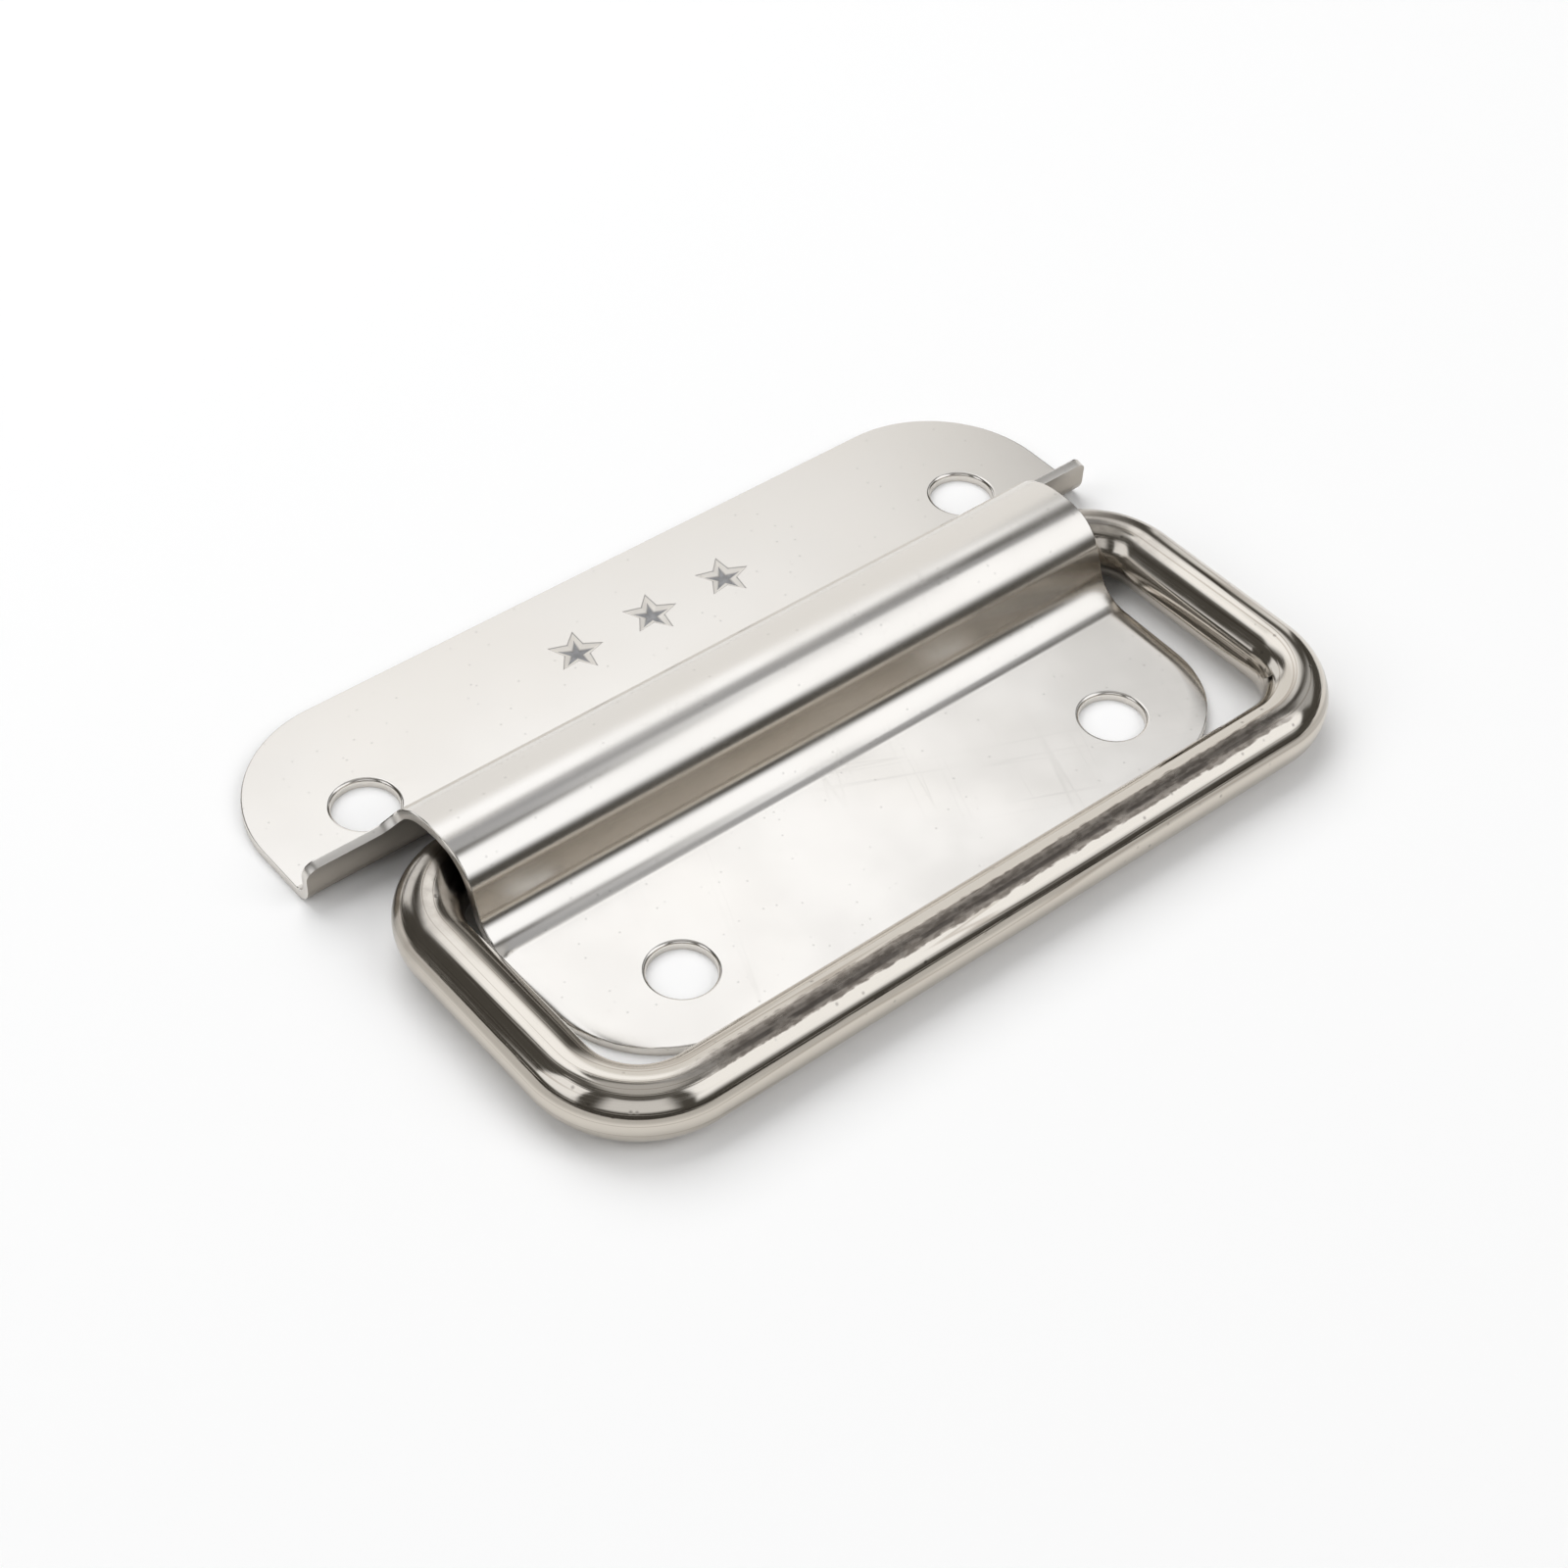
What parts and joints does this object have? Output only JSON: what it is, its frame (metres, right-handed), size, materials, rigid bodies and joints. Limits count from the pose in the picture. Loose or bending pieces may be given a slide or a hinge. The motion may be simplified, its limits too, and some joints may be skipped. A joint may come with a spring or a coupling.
{
  "type": "chest handle",
  "caption": "Stamped sheet-metal chest handle: a flat screw-on plate with a raised bead that traps a folding wire bail, and upturned walls that stop the bail when it is lifted.",
  "frame": {"origin": "midway between the two back screw holes, on the mounting plane under the plate", "axes": "+X along the bead, +Y towards the back flange, +Z away from the chest"},
  "size_m": [0.0888, 0.0594, 0.0085],
  "materials": {
    "sheet_steel": "polished stainless sheet",
    "wire_steel": "polished stainless wire with drawing marks"
  },
  "bodies": {
    "plate": {"mounting_plate": "sheet_steel"},
    "bail": {"bail": "wire_steel"}
  },
  "joints": [
    {"name": "bail_swing", "type": "hinge", "parent": "plate", "child": "bail", "pos_m": [0, -0.0127, 0.0032], "axis": [-1, 0, 0], "range_deg": [0, 90]}
  ]
}
